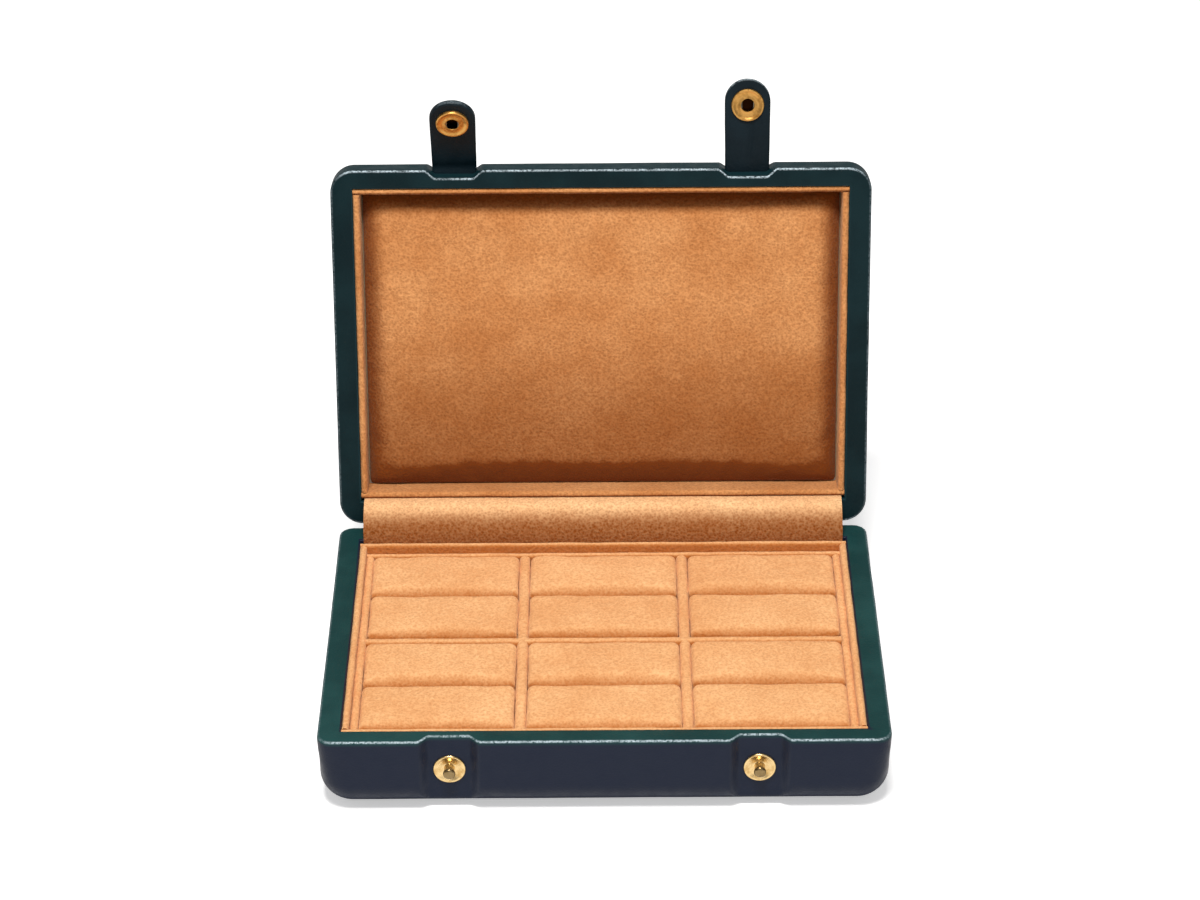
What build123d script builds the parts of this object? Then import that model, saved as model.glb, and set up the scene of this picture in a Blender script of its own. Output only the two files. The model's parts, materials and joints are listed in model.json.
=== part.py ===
from build123d import *
import os
from math import cos, pi, sin, sqrt

os.makedirs("parts", exist_ok=True)

# A leather-covered cufflink box: a base with twelve suede rolls, and a hinged lid with a suede cushion
# and two snap straps. X runs right, Y runs back to the hinge and Z up. The origin is the centre of the
# base's underside. The lid is modelled shut over the base and then swung open.

# Outside of the box
box_width = 165.0
box_depth = 114.0
base_height = 25.5
lid_height = 14.0
base_corner = 9.5
base_edge = 9.2
lid_corner = 7.2
lid_edge = 6.9
rim_radius = 0.8
closed_gap = 0.3
lid_open_angle = 103.0

# Covering leather, wooden carcasses and the panel under the base
leather = 1.2
turn_in = 1.0
turn_in_depth = 7.0
base_board = 3.0
lid_board = 2.5
side_rim = 6.8
front_rim = 5.9
back_rim = 7.4
underside_panel = 0.8
panel_margin = 3.0
turn_under = 6.0

# Suede-covered linings and the tray
liner = 2.0
liner_drop = 0.5
liner_round = 0.8
tray_floor = 1.5
tray_wall = 2.4
tray_drop = 3.0
divider = 3.4
divider_slot_clearance = 0.05

# Rolls that grip the cufflinks
roll_columns = 3
roll_rows = 2
rolls_per_cell = 2
roll_gap = 0.25
roll_end_gap = 0.2
roll_drop = 2.5
roll_swell = 0.7
roll_top_radius = 4.0
roll_end_radius = 2.0

# Lid cushion
cushion_board = 1.0
cushion_drop = 5.8
cushion_gap = 0.3
cushion_bow = 0.7
cushion_shoulder = 25.0
cushion_upright = 0.3
cushion_steps = 5

# Hinge: a suede gusset inside and a leather spine outside
spine = 1.0
spine_leg = 10.0
spine_half_width = 73.0
gusset = 0.8
gusset_leg = 7.0
gusset_end_gap = 1.0

# Snap positions and the channels that the straps lie in
snap_offset = 44.7
snap_drop = 11.5
channel_opening = 17.5
channel_bed = 12.0
channel_round = 1.5
base_channel = 2.9
lid_channel = 2.5

# Straps
strap_thickness = 2.0
strap_root_width = 13.5
strap_tip_width = 13.9
strap_tip = 7.8
strap_edge_round = 0.4
strap_pivot_rise = 6.7
strap_stand_off = 2.35
strap_knuckle = 1.0
strap_knuckle_clearance = 0.1
root_stem = 2.0
root_stem_drop = 0.2
strap_left_fold = 60.0
strap_right_fold = 90.0

# Snap fastener
stud_flange_radius = 4.7
stud_sink = 0.5
stud_rim_height = 0.35
stud_dish_radius = 3.0
stud_dish_height = -0.15
stud_dish_slope = 0.4
stud_rim_round = 0.3
stud_neck_radius = 1.5
stud_head_radius = 1.8
stud_head_flare = 0.3
stud_head_dome = 0.6
stud_neck_height = 1.95
stud_height = 3.35
rivet_radius = 1.0
rivet_head_radius = 3.2
rivet_head = 0.8
rivet_grip = 1.6
socket_radius = 5.0
socket_flange = 0.9
socket_lip = 0.4
socket_tube_radius = 3.15
socket_tube_end = 0.5
snap_clearance = 0.2
barrel_radius = 2.5
barrel_reach = 0.9
chamber_radius = 2.9
cap_radius = 5.5
cap_rise = 1.7
cap_edge = 0.4
spring_wire_radius = 0.22
spring_wire_offset = 1.85
dome_steps = 4
fit_clearance = 0.05
level_tolerance = 0.01

# Levels and places worked out from the sizes above
half_width = box_width / 2
half_depth = box_depth / 2
rim_z = base_height
lid_rim_z = rim_z + closed_gap
lid_top_z = lid_rim_z + lid_height
carcass_bottom_z = underside_panel + leather
floor_z = carcass_bottom_z + base_board
lid_ceiling_z = lid_top_z - leather - lid_board
hinge_y = half_depth + spine / 2
hinge_z = rim_z + closed_gap / 2
hinge_axis = Axis((0, hinge_y, hinge_z), (1, 0, 0))

cavity_x = half_width - side_rim
cavity_front = front_rim - half_depth
cavity_back = half_depth - back_rim
lining_back = cavity_back - gusset
lining_x = cavity_x - liner
lining_front = cavity_front + liner
lining_rear = lining_back - liner
tray_x = lining_x - tray_wall
tray_front = lining_front + tray_wall
tray_rear = lining_rear - tray_wall
tray_z = floor_z + tray_floor
tray_top_z = rim_z - tray_drop

cell_width = (2 * tray_x - (roll_columns - 1) * divider) / roll_columns
cell_depth = (tray_rear - tray_front - (roll_rows - 1) * divider) / roll_rows
roll_depth = (cell_depth - (rolls_per_cell + 1) * roll_gap) / rolls_per_cell
roll_length = cell_width - 2 * roll_end_gap
roll_top_z = rim_z - roll_drop

snap_z = rim_z - snap_drop
base_bed_y = base_channel - half_depth
lid_bed_y = lid_channel - half_depth
strap_y = lid_bed_y - strap_stand_off
strap_pivot_z = lid_rim_z + strap_pivot_rise
strap_axis = Axis((0, strap_y, strap_pivot_z), (1, 0, 0))


def save(name, shape):
    """Write one sub-part under the name of its node."""
    shape.label = name
    export_step(shape, "parts/" + name + ".step")


def span(x, y, z):
    """A block between two limits along each axis."""
    size = (x[1] - x[0], y[1] - y[0], z[1] - z[0])
    centre = ((x[0] + x[1]) / 2, (y[0] + y[1]) / 2, (z[0] + z[1]) / 2)
    return Pos(*centre) * Box(*size)


def dome(radius, rise, steps):
    """Points of a quarter oval, as (radius, rise), from its rim to its crown."""
    turns = [pi / 2 * step / steps for step in range(steps + 1)]
    return [(radius * cos(turn), rise * sin(turn)) for turn in turns]


def opened(shape):
    """Swing a piece of the lid from shut to open."""
    return shape.rotate(hinge_axis, -lid_open_angle)


def unfolded(shape, fold):
    """Lift a piece of a strap off its stud, and then open the lid."""
    return opened(shape.rotate(strap_axis, -fold))


# Base and lid shells

def base_block(inset, bottom_z, top_z):
    """The base's block, inset all round, with upright rounded corners and a rounded bottom edge."""
    plan = RectangleRounded(box_width - 2 * inset, box_depth - 2 * inset, base_corner - inset)
    block = Pos(0, 0, bottom_z) * extrude(plan, top_z - bottom_z)
    return fillet(block.faces().sort_by(Axis.Z)[0].edges(), base_edge - inset)


def lid_block(inset, bottom_z, top_z):
    """The lid's block, shut, inset all round, with its top edge rounded over."""
    plan = RectangleRounded(box_width - 2 * inset, box_depth - 2 * inset, lid_corner - inset)
    block = Pos(0, 0, bottom_z) * extrude(plan, top_z - bottom_z)
    return fillet(block.faces().sort_by(Axis.Z)[-1].edges(), lid_edge - inset)


def channel(depth, inset, bottom_z, top_z):
    """The upright channel that a strap lies in, its sloped sides and bed set in by the covering."""
    bed_y = depth - half_depth
    slope = (channel_opening - channel_bed) / 2 / depth
    out_y = -half_depth - channel_opening
    out_half = channel_opening / 2 + slope * channel_opening
    points = [(-out_half, out_y), (-channel_bed / 2, bed_y), (channel_bed / 2, bed_y), (out_half, out_y)]
    profile = make_face(Polyline(points, close=True))
    corners = profile.vertices().group_by(Axis.Y)[-1]
    profile = fillet(corners, channel_round)
    if inset:
        profile = offset(profile, amount=inset)
    return Pos(0, 0, bottom_z) * extrude(profile, top_z - bottom_z)


def channels(depth, inset, bottom_z, top_z):
    """Both channels, one at each snap."""
    cutter = channel(depth, inset, bottom_z, top_z)
    return [Pos(side * snap_offset, 0, 0) * cutter for side in (-1, 1)]


def across_front(radius, from_y, to_y, side):
    """A cylinder along Y at one of the snaps."""
    cylinder = Rot(90, 0, 0) * Cylinder(radius, abs(to_y - from_y))
    return Pos(side * snap_offset, (from_y + to_y) / 2, snap_z) * cylinder


def carcass_cavity(bottom_z, top_z):
    """The hollow of a wooden carcass, which leaves room for the leather that turns in over the rim."""
    x = cavity_x + turn_in
    return span((-x, x), (cavity_front - turn_in, cavity_back + turn_in), (bottom_z, top_z))


def turned_rim(rim_at, depth, toward):
    """The leather that turns in over the rim and lies against the inside of the carcass."""
    low, high = sorted((rim_at + toward * leather, rim_at + toward * depth))
    ring = carcass_cavity(low, high)
    hollow = span((-cavity_x, cavity_x), (cavity_front, cavity_back), (low, high))
    return ring - hollow


def soften_rim(shape, level):
    """Round the inner and outer edges of the leather rim."""
    near = (level - level_tolerance, level + level_tolerance)
    rim = shape.faces().filter_by(Plane.XY).filter_by_position(Axis.Z, *near).sort_by(SortBy.AREA)[-1]
    return fillet(rim.edges(), rim_radius)


def base_shell():
    """The base's wooden carcass and its leather covering."""
    envelope = base_block(leather, carcass_bottom_z, rim_z - leather)
    for cutter in channels(base_channel, leather, 0, rim_z):
        envelope -= cutter
    carcass = envelope - carcass_cavity(floor_z, rim_z)
    covering = base_block(0, underside_panel, rim_z)
    for cutter in channels(base_channel, 0, 0, rim_z):
        covering -= cutter
    covering -= envelope
    covering -= span((-cavity_x, cavity_x), (cavity_front, cavity_back), (rim_z - leather, rim_z))
    covering = soften_rim(covering, rim_z)
    covering += turned_rim(rim_z, turn_in_depth, -1)
    window = RectangleRounded(*underside_outline(turn_under - fit_clearance), base_corner)
    covering -= extrude(window, carcass_bottom_z)
    for side in (-1, 1):
        hole = across_front(rivet_radius + fit_clearance, -half_depth, cavity_front, side)
        seat = across_front(stud_flange_radius + fit_clearance, -half_depth, base_bed_y + stud_sink, side)
        carcass -= hole
        covering = covering - hole - seat
    return carcass, covering


def underside_outline(margin):
    """Width and depth of the flat underside, less a margin all round."""
    inset = base_edge + panel_margin + margin
    return box_width - 2 * inset, box_depth - 2 * inset


def underside():
    """The panel glued under the base, with a filler that fits in the turned-under leather."""
    panel = extrude(RectangleRounded(*underside_outline(0), base_corner), underside_panel)
    panel = fillet(panel.faces().sort_by(Axis.Z)[0].edges(), underside_panel / 2)
    filler = RectangleRounded(*underside_outline(turn_under), base_corner - fit_clearance)
    return panel + extrude(filler, carcass_bottom_z)


def lid_shell():
    """The lid's wooden carcass and its leather covering, shut."""
    envelope = lid_block(leather, lid_rim_z + leather, lid_top_z - leather)
    for cutter in channels(lid_channel, leather, lid_rim_z, lid_top_z):
        envelope -= cutter
    carcass = envelope - carcass_cavity(lid_rim_z, lid_ceiling_z)
    covering = lid_block(0, lid_rim_z, lid_top_z)
    for cutter in channels(lid_channel, 0, lid_rim_z, lid_top_z):
        covering -= cutter
    covering -= envelope
    mouth = (lid_rim_z, lid_rim_z + leather)
    covering -= span((-cavity_x, cavity_x), (cavity_front, cavity_back), mouth)
    covering = soften_rim(covering, lid_rim_z)
    covering += turned_rim(lid_rim_z, turn_in_depth, 1)
    return carcass, covering


# Linings and tray

def lining_boards(bottom_z, top_z, edge_z):
    """Four suede-covered boards round the inside, with their free edges rounded."""
    boards = {
        "front": span((-cavity_x, cavity_x), (cavity_front, lining_front), (bottom_z, top_z)),
        "back": span((-cavity_x, cavity_x), (lining_rear, lining_back), (bottom_z, top_z)),
        "left": span((-cavity_x, -lining_x), (lining_front, lining_rear), (bottom_z, top_z)),
        "right": span((lining_x, cavity_x), (lining_front, lining_rear), (bottom_z, top_z)),
    }
    near = (edge_z - level_tolerance, edge_z + level_tolerance)
    for name, board in boards.items():
        run = Axis.X if name in ("front", "back") else Axis.Y
        free = board.edges().filter_by(run).filter_by_position(Axis.Z, *near)
        boards[name] = fillet(free, liner_round)
    return boards


def tray_walls():
    """The four lower walls of the tray, standing on its floor."""
    z = (tray_z, tray_top_z)
    walls = {
        "front": span((-lining_x, lining_x), (lining_front, tray_front), z),
        "back": span((-lining_x, lining_x), (tray_rear, lining_rear), z),
        "left": span((-lining_x, -tray_x), (tray_front, tray_rear), z),
        "right": span((tray_x, lining_x), (tray_front, tray_rear), z),
    }
    for name, wall in walls.items():
        run = Axis.X if name in ("front", "back") else Axis.Y
        free = wall.edges().filter_by(run).group_by(Axis.Z)[-1]
        walls[name] = fillet(free, liner_round)
    return walls


def divider_centres_x():
    """Where the cross dividers stand."""
    pitch = cell_width + divider
    first = -tray_x + cell_width + divider / 2
    return [first + pitch * index for index in range(roll_columns - 1)]


def tray_dividers():
    """One long divider and two cross dividers, halved into each other."""
    middle_y = (tray_front + tray_rear) / 2
    middle_z = (tray_z + tray_top_z) / 2
    long_y = (middle_y - divider / 2, middle_y + divider / 2)
    long_divider = span((-tray_x, tray_x), long_y, (tray_z, tray_top_z))
    slot_half = divider / 2 + divider_slot_clearance
    crosses = []
    for centre in divider_centres_x():
        slot_x = (centre - slot_half, centre + slot_half)
        long_divider -= span(slot_x, long_y, (middle_z, tray_top_z))
        cross_x = (centre - divider / 2, centre + divider / 2)
        cross = span(cross_x, (tray_front, tray_rear), (tray_z, tray_top_z))
        cross -= span(slot_x, (middle_y - slot_half, middle_y + slot_half), (tray_z, middle_z))
        free = cross.edges().filter_by(Axis.Y).group_by(Axis.Z)[-1]
        crosses.append(fillet(free, liner_round))
    return long_divider, crosses


def roll():
    """One stuffed roll along X: a crowned top, round shoulders and ends, and a flat glued underside."""
    side = roll_depth / 2
    shoulder_z = roll_top_z - roll_swell
    outline = [
        Line((0, -side, tray_z), (0, side, tray_z)),
        Line((0, side, tray_z), (0, side, shoulder_z)),
        ThreePointArc((0, side, shoulder_z), (0, 0, roll_top_z), (0, -side, shoulder_z)),
        Line((0, -side, shoulder_z), (0, -side, tray_z)),
    ]
    section = make_face(outline)
    section = fillet(section.vertices().group_by(Axis.Z)[-1], roll_top_radius)
    body = extrude(section, roll_length / 2, dir=(1, 0, 0), both=True)
    ends = body.faces().filter_by(Plane.YZ)
    rims = ends.edges().filter_by(lambda edge: edge.center().Z > tray_z + fit_clearance)
    return fillet(rims, roll_end_radius)


def rolls():
    """All the rolls, two to a cell, named by row from the front and column from the left."""
    placed = {}
    shape = roll()
    for row in range(roll_rows):
        for pair in range(rolls_per_cell):
            cell_start = tray_front + row * (cell_depth + divider)
            y = cell_start + roll_gap + roll_depth / 2 + pair * (roll_depth + roll_gap)
            for column in range(roll_columns):
                x = -tray_x + cell_width / 2 + column * (cell_width + divider)
                name = "roll_row%d_col%d" % (row * rolls_per_cell + pair + 1, column + 1)
                placed[name] = Pos(x, y, 0) * shape
    return placed


def cushion_outline(z, inset, bow):
    """A pillow outline: four sides drawn in between the corners."""
    x = lining_x - cushion_gap - inset
    front = lining_front + cushion_gap + inset
    back = lining_rear - cushion_gap - inset
    middle_y = (front + back) / 2
    sides = [
        ThreePointArc((-x, front, z), (0, front + bow, z), (x, front, z)),
        ThreePointArc((x, front, z), (x - bow, middle_y, z), (x, back, z)),
        ThreePointArc((x, back, z), (0, back - bow, z), (-x, back, z)),
        ThreePointArc((-x, back, z), (-x + bow, middle_y, z), (-x, front, z)),
    ]
    return make_face(sides)


def lid_cushion():
    """The crowned cushion on its board, shut, with its crown towards the rolls."""
    board_z = lid_ceiling_z - cushion_board
    crown_z = lid_rim_z + cushion_drop
    shoulder_z = board_z - (board_z - crown_z) * cushion_upright
    outlines = [cushion_outline(board_z, 0, cushion_bow)]
    for reach, rise in dome(cushion_shoulder, shoulder_z - crown_z, cushion_steps):
        outlines.append(cushion_outline(shoulder_z - rise, cushion_shoulder - reach, cushion_bow))
    cushion = loft(outlines, ruled=True)
    x = (-lining_x + cushion_gap, lining_x - cushion_gap)
    y = (lining_front + cushion_gap, lining_rear - cushion_gap)
    board = span(x, y, (board_z, lid_ceiling_z))
    return cushion, board


# Hinge

def spine_strip():
    """The leather strip outside the hinge: a leg on each back wall and a fold between them."""
    y = (half_depth, half_depth + spine)
    x = (-spine_half_width, spine_half_width)
    base_leg = span(x, y, (hinge_z - spine_leg, hinge_z))
    lid_leg = opened(span(x, y, (hinge_z, hinge_z + spine_leg)))
    fold = Pos(0, hinge_y, hinge_z) * Rot(0, 90, 0) * Cylinder(spine / 2, 2 * spine_half_width)
    return base_leg + fold + lid_leg


def gusset_strip():
    """The suede gusset inside the hinge: an arc about the hinge line, tucked behind both back boards."""
    outer = hinge_y - lining_back
    inner = outer - gusset
    half = cavity_x - gusset_end_gap
    y = (hinge_y - outer, hinge_y - inner)
    base_leg = span((-half, half), y, (hinge_z - gusset_leg, hinge_z))
    lid_leg = opened(span((-half, half), y, (hinge_z, hinge_z + gusset_leg)))
    arc = revolve(base_leg.faces().sort_by(Axis.Z)[-1], hinge_axis, -lid_open_angle)
    return base_leg + arc + lid_leg


# Straps and snaps

def strap():
    """One strap, folded down over its stud, with its round tip and the hole for the snap."""
    root = strap_root_width / 2
    tip = strap_tip_width / 2
    tip_z = snap_z - (strap_tip - tip)
    with BuildSketch(Plane.XZ.offset(-strap_y - strap_thickness / 2)) as face:
        with BuildLine():
            Polyline((-tip, tip_z), (-root, strap_pivot_z), (root, strap_pivot_z), (tip, tip_z))
            ThreePointArc((tip, tip_z), (0, tip_z - tip), (-tip, tip_z))
        make_face()
    body = extrude(face.sketch, strap_thickness)
    long_edges = body.edges().filter_by_position(Axis.Z, tip_z - 2 * tip, strap_pivot_z - level_tolerance)
    body = fillet(long_edges.filter_by(lambda edge: edge.length > 2 * strap_thickness), strap_edge_round)
    swing = Rot(0, 90, 0) * Cylinder(strap_knuckle + strap_knuckle_clearance, 2 * strap_root_width)
    body -= Pos(0, strap_y, strap_pivot_z) * swing
    hole = Rot(90, 0, 0) * Cylinder(socket_tube_radius + fit_clearance, 2 * strap_thickness)
    return body - Pos(0, strap_y, snap_z) * hole


def snap_turning(points):
    """Turn a profile of (radius, distance from the strap's middle towards the box) about the snap's axis."""
    placed = [(radius, strap_y + reach, snap_z) for radius, reach in points]
    profile = make_face(Polyline(placed, close=True))
    return revolve(profile, Axis((0, 0, snap_z), (0, 1, 0)))


def strap_root():
    """The short end of the strap that is fixed in the lid's channel, with its flex line as a knuckle."""
    half = strap_root_width / 2
    knuckle = Pos(0, strap_y, strap_pivot_z) * Rot(0, 90, 0) * Cylinder(strap_knuckle, strap_root_width)
    z = (strap_pivot_z, strap_pivot_z + root_stem)
    stem = span((-half, half), (strap_y + root_stem_drop, lid_bed_y), z) & channel(lid_channel, 0, *z)
    return knuckle + stem


def snap_socket():
    """The brass socket: a lipped flange on the strap's inner face and a tube through the strap."""
    face = strap_thickness / 2
    mouth = face + socket_flange
    bore = stud_head_radius + snap_clearance
    tube_bore = barrel_radius + fit_clearance
    return snap_turning([
        (socket_radius, face),
        (socket_radius, mouth - socket_lip),
        (socket_radius - socket_lip, mouth),
        (bore + socket_lip, mouth),
        (bore, mouth - socket_lip / 2),
        (bore, mouth - socket_lip),
        (chamber_radius, mouth - socket_lip),
        (chamber_radius, face),
        (tube_bore, face),
        (tube_bore, -socket_tube_end),
        (socket_tube_radius, -socket_tube_end),
        (socket_tube_radius, face),
    ])


def snap_cap():
    """The domed cap on the strap's outer face, with a barrel that the socket's tube grips."""
    face = -strap_thickness / 2
    bore = stud_head_radius + snap_clearance
    crown = [(radius, face - rise) for radius, rise in dome(cap_radius, cap_rise, dome_steps)]
    return snap_turning(crown[::-1] + [
        (barrel_radius, face),
        (barrel_radius, barrel_reach),
        (bore, barrel_reach),
        (bore, face + cap_edge),
        (0, face + cap_edge),
    ])


def snap_spring():
    """The wire spring in the socket: two straight wires beside the stud's neck, joined by a bow."""
    y = strap_y + strap_thickness / 2 + (socket_flange - socket_lip) / 2
    chamber_reach = chamber_radius - spring_wire_radius - fit_clearance
    foot_z = snap_z - sqrt(chamber_reach ** 2 - spring_wire_offset ** 2)
    bow_z = snap_z + chamber_reach - spring_wire_offset
    left = Line((-spring_wire_offset, y, foot_z), (-spring_wire_offset, y, bow_z))
    bow = ThreePointArc(left @ 1, (0, y, snap_z + chamber_reach), (spring_wire_offset, y, bow_z))
    right = Line(bow @ 1, (spring_wire_offset, y, foot_z))
    path = Wire([left, bow, right])
    return sweep(Plane(path @ 0, z_dir=path % 0) * Circle(spring_wire_radius), path=path)


def stud_turning(points):
    """Turn a profile of (radius, height over the base channel's bed) about the snap's axis."""
    placed = [(radius, base_bed_y - height, snap_z) for radius, height in points]
    profile = make_face(Polyline(placed, close=True))
    return revolve(profile, Axis((0, 0, snap_z), (0, 1, 0)))


def snap_stud():
    """The brass stud: a dished flange and a necked post with a round head, bored for its rivet."""
    bore = rivet_radius + fit_clearance
    shoulder = stud_height - stud_head_dome
    head = dome(stud_head_radius, stud_head_dome, dome_steps)
    crown = [(radius, shoulder + rise) for radius, rise in head]
    return stud_turning([
        (bore, -stud_sink),
        (stud_flange_radius, -stud_sink),
        (stud_flange_radius, stud_rim_height / 2),
        (stud_flange_radius - stud_rim_round, stud_rim_height),
        (stud_dish_radius + stud_dish_slope, stud_rim_height),
        (stud_dish_radius, stud_dish_height),
        (stud_neck_radius, stud_dish_height),
        (stud_neck_radius, stud_neck_height),
        (stud_head_radius, stud_neck_height + stud_head_flare),
        *crown,
        (0, rivet_grip + fit_clearance),
        (bore, rivet_grip + fit_clearance),
    ])


def stud_rivet():
    """The rivet that holds the stud, its head on the carcass behind the lining."""
    head_y = cavity_front - turn_in
    seat = base_bed_y - head_y
    return stud_turning([
        (0, seat - rivet_head),
        (rivet_head_radius, seat - rivet_head),
        (rivet_head_radius, seat),
        (rivet_radius, seat),
        (rivet_radius, rivet_grip),
        (0, rivet_grip),
    ])


# Write every sub-part

base_carcass, base_leather = base_shell()
save("base_carcass", base_carcass)
save("base_leather", base_leather)
save("base_underside", underside())
for name, board in lining_boards(floor_z, rim_z - liner_drop, rim_z - liner_drop).items():
    save("base_liner_" + name, board)

save("tray_floor", span((-lining_x, lining_x), (lining_front, lining_rear), (floor_z, tray_z)))
for name, wall in tray_walls().items():
    save("tray_wall_" + name, wall)
long_divider, cross_dividers = tray_dividers()
save("tray_divider_long", long_divider)
for index, cross in enumerate(cross_dividers):
    save("tray_divider_cross%d" % (index + 1), cross)
for name, placed_roll in rolls().items():
    save(name, placed_roll)

lid_carcass, lid_leather = lid_shell()
save("lid_carcass", opened(lid_carcass))
save("lid_leather", opened(lid_leather))
lid_edge_z = lid_rim_z + liner_drop
for name, board in lining_boards(lid_edge_z, lid_ceiling_z, lid_edge_z).items():
    save("lid_liner_" + name, opened(board))
cushion, board = lid_cushion()
save("lid_cushion", opened(cushion))
save("lid_cushion_board", opened(board))

save("hinge_spine", spine_strip())
save("hinge_gusset", gusset_strip())

stud = snap_stud()
rivet = stud_rivet()
strap_pieces = {"strap": strap(), "socket": snap_socket(), "spring": snap_spring(), "cap": snap_cap()}
root = strap_root()
for side, name, fold in ((-1, "left", strap_left_fold), (1, "right", strap_right_fold)):
    place = Pos(side * snap_offset, 0, 0)
    save("stud_" + name, place * stud)
    save("stud_rivet_" + name, place * rivet)
    save("strap_root_" + name, opened(place * root))
    for piece, shape in strap_pieces.items():
        save(piece + "_" + name, unfolded(place * shape, fold))
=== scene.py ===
import json
import math

import bmesh
import bpy
from mathutils import Matrix, Vector, noise

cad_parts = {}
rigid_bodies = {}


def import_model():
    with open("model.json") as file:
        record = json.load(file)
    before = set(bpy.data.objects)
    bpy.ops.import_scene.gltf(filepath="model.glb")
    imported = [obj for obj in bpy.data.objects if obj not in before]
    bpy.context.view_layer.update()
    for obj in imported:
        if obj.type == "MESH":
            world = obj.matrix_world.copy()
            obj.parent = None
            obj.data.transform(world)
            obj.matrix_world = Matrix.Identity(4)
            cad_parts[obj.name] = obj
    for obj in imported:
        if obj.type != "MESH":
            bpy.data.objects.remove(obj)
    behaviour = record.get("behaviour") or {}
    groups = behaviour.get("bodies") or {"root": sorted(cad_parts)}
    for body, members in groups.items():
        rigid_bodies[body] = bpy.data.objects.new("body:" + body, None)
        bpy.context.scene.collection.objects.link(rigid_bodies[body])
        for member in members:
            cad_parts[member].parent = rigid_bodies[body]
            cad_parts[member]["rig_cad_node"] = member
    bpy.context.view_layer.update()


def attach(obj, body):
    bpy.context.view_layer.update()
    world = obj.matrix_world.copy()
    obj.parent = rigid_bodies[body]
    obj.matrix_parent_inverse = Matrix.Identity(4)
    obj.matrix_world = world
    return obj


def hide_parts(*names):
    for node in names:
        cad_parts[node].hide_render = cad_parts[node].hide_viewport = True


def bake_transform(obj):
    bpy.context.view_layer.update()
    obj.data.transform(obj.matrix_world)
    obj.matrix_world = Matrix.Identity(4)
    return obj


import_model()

# Lengths are in millimetres, in the same frame as the CAD, and MM turns them into metres.
# Only the studio's lamps and floor are placed in metres.
MM = 0.001

# Camera: its place, its angles in degrees (down, to the right and clockwise) and its lens
CAMERA_AT = (-0.12, -844.44, 605.18)
CAMERA_PITCH = 31.474
CAMERA_YAW = -0.043
CAMERA_ROLL = 0.380
CAMERA_LENS, CAMERA_SENSOR = 102.32, 36

# Box
HALF_W, HALF_D = 82.5, 57.0
BASE_BOTTOM, BASE_RIM = 0.8, 25.5
LID_RIM, LID_TOP = 25.8, 39.8
CAVITY_X, CAVITY_FRONT, CAVITY_BACK = 75.7, -51.1, 49.6
FLOOR, CEILING = 5.0, 36.1
RIM_ROUND, CAVITY_ROUND = 0.8, 0.6

# Hinge: the leather spine and the suede gusset are strips about one line
LID_OPEN = 103.0
SPINE_HALF, SPINE_THICK, SPINE_LEG = 73.0, 1.0, 10.0
GUSSET_HALF, GUSSET_INNER, GUSSET_OUTER, GUSSET_LEG = 74.7, 7.9, 8.7, 7.0
HINGE = (0.0, HALF_D + SPINE_THICK / 2, (BASE_RIM + LID_RIM) / 2)

# Linings and tray
LINER, LINER_DROP, LINER_ROUND = 2.0, 0.5, 0.95
LINING_X, LINING_FRONT = CAVITY_X - LINER, CAVITY_FRONT + LINER
LINING_BACK = 48.8
LINING_REAR = LINING_BACK - LINER
TRAY_WALL, TRAY_WALL_ROUND = 2.4, 1.1
TRAY_X = LINING_X - TRAY_WALL
TRAY_FRONT, TRAY_REAR = LINING_FRONT + TRAY_WALL, LINING_REAR - TRAY_WALL
TRAY_Z, TRAY_TOP = 6.5, 22.5
DIVIDER, DIVIDER_ROUND = 3.4, 1.55
COLUMNS = 3
CELL_W = (2 * TRAY_X - 2 * DIVIDER) / COLUMNS
CELL_D = (TRAY_REAR - TRAY_FRONT - DIVIDER) / 2

# Rolls: two to a cell, shaped and dented only within these depths below their tops
ROLL_GAP = 0.02
ROLL_D, ROLL_L = CELL_D / 2 - ROLL_GAP, CELL_W - 2 * ROLL_GAP
ROLL_TOP, ROLL_CORNER, ROLL_EDGE, ROLL_CROWN = 23.0, 2.2, 1.7, 0.35
ROLL_SHAPED, ROLL_DENTED = 6.0, 5.0
ROLL_FRONT_ROUND = {"front": 5.0, "back": 6.5}

# Cushion
CUSHION_GAP = 0.3
CUSHION_X, CUSHION_FRONT = LINING_X - CUSHION_GAP, LINING_FRONT + CUSHION_GAP
CUSHION_BACK = LINING_REAR - CUSHION_GAP
CUSHION_BOARD, CUSHION_CROWN, CUSHION_EDGE = 35.1, 31.6, 0.2

# Snaps, channels and straps
SNAP_X, SNAP_Z = 44.7, BASE_RIM - 11.5
SNAP_CENTRES = {"left": -SNAP_X, "right": SNAP_X}
SEAT_RADIUS, SEAT_DEPTH = 4.6, 0.6
CHANNEL_OPENING, CHANNEL_BED = 17.5, 12.0
BASE_CHANNEL, LID_CHANNEL = 2.9, 2.5
STRAP_Y, STRAP_Z = -56.85, 32.5
STRAP_HALF_W, STRAP_HALF_T = 6.9, 1.0
STRAP_TIP_ROUND, STRAP_EDGE, STRAP_HOLE = 6.85, 0.45, 3.2
SOCKET_REACH = 18.5
STRAP_REACH = SOCKET_REACH + 7.8
STRAP_FOLD = {"left": 60.0, "right": 90.0}


def smooth(value, start, end):
    """0 at start and 1 at end, with an even turn between."""
    share = min(max((value - start) / (end - start), 0.0), 1.0)
    return share * share * (3 - 2 * share)


def about_x(centre, degrees):
    """A turn about a line along X through centre, given in millimetres."""
    pivot = Vector(centre) * MM
    turn = Matrix.Rotation(math.radians(degrees), 4, "X")
    return Matrix.Translation(pivot) @ turn @ Matrix.Translation(-pivot)


# Every piece of the lid is modelled shut and then turned open.
OPEN_LID = about_x(HINGE, -LID_OPEN)


# Modelling tools

def only(obj):
    """Select one object and nothing else."""
    bpy.ops.object.select_all(action="DESELECT")
    obj.select_set(True)
    bpy.context.view_layer.objects.active = obj


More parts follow.
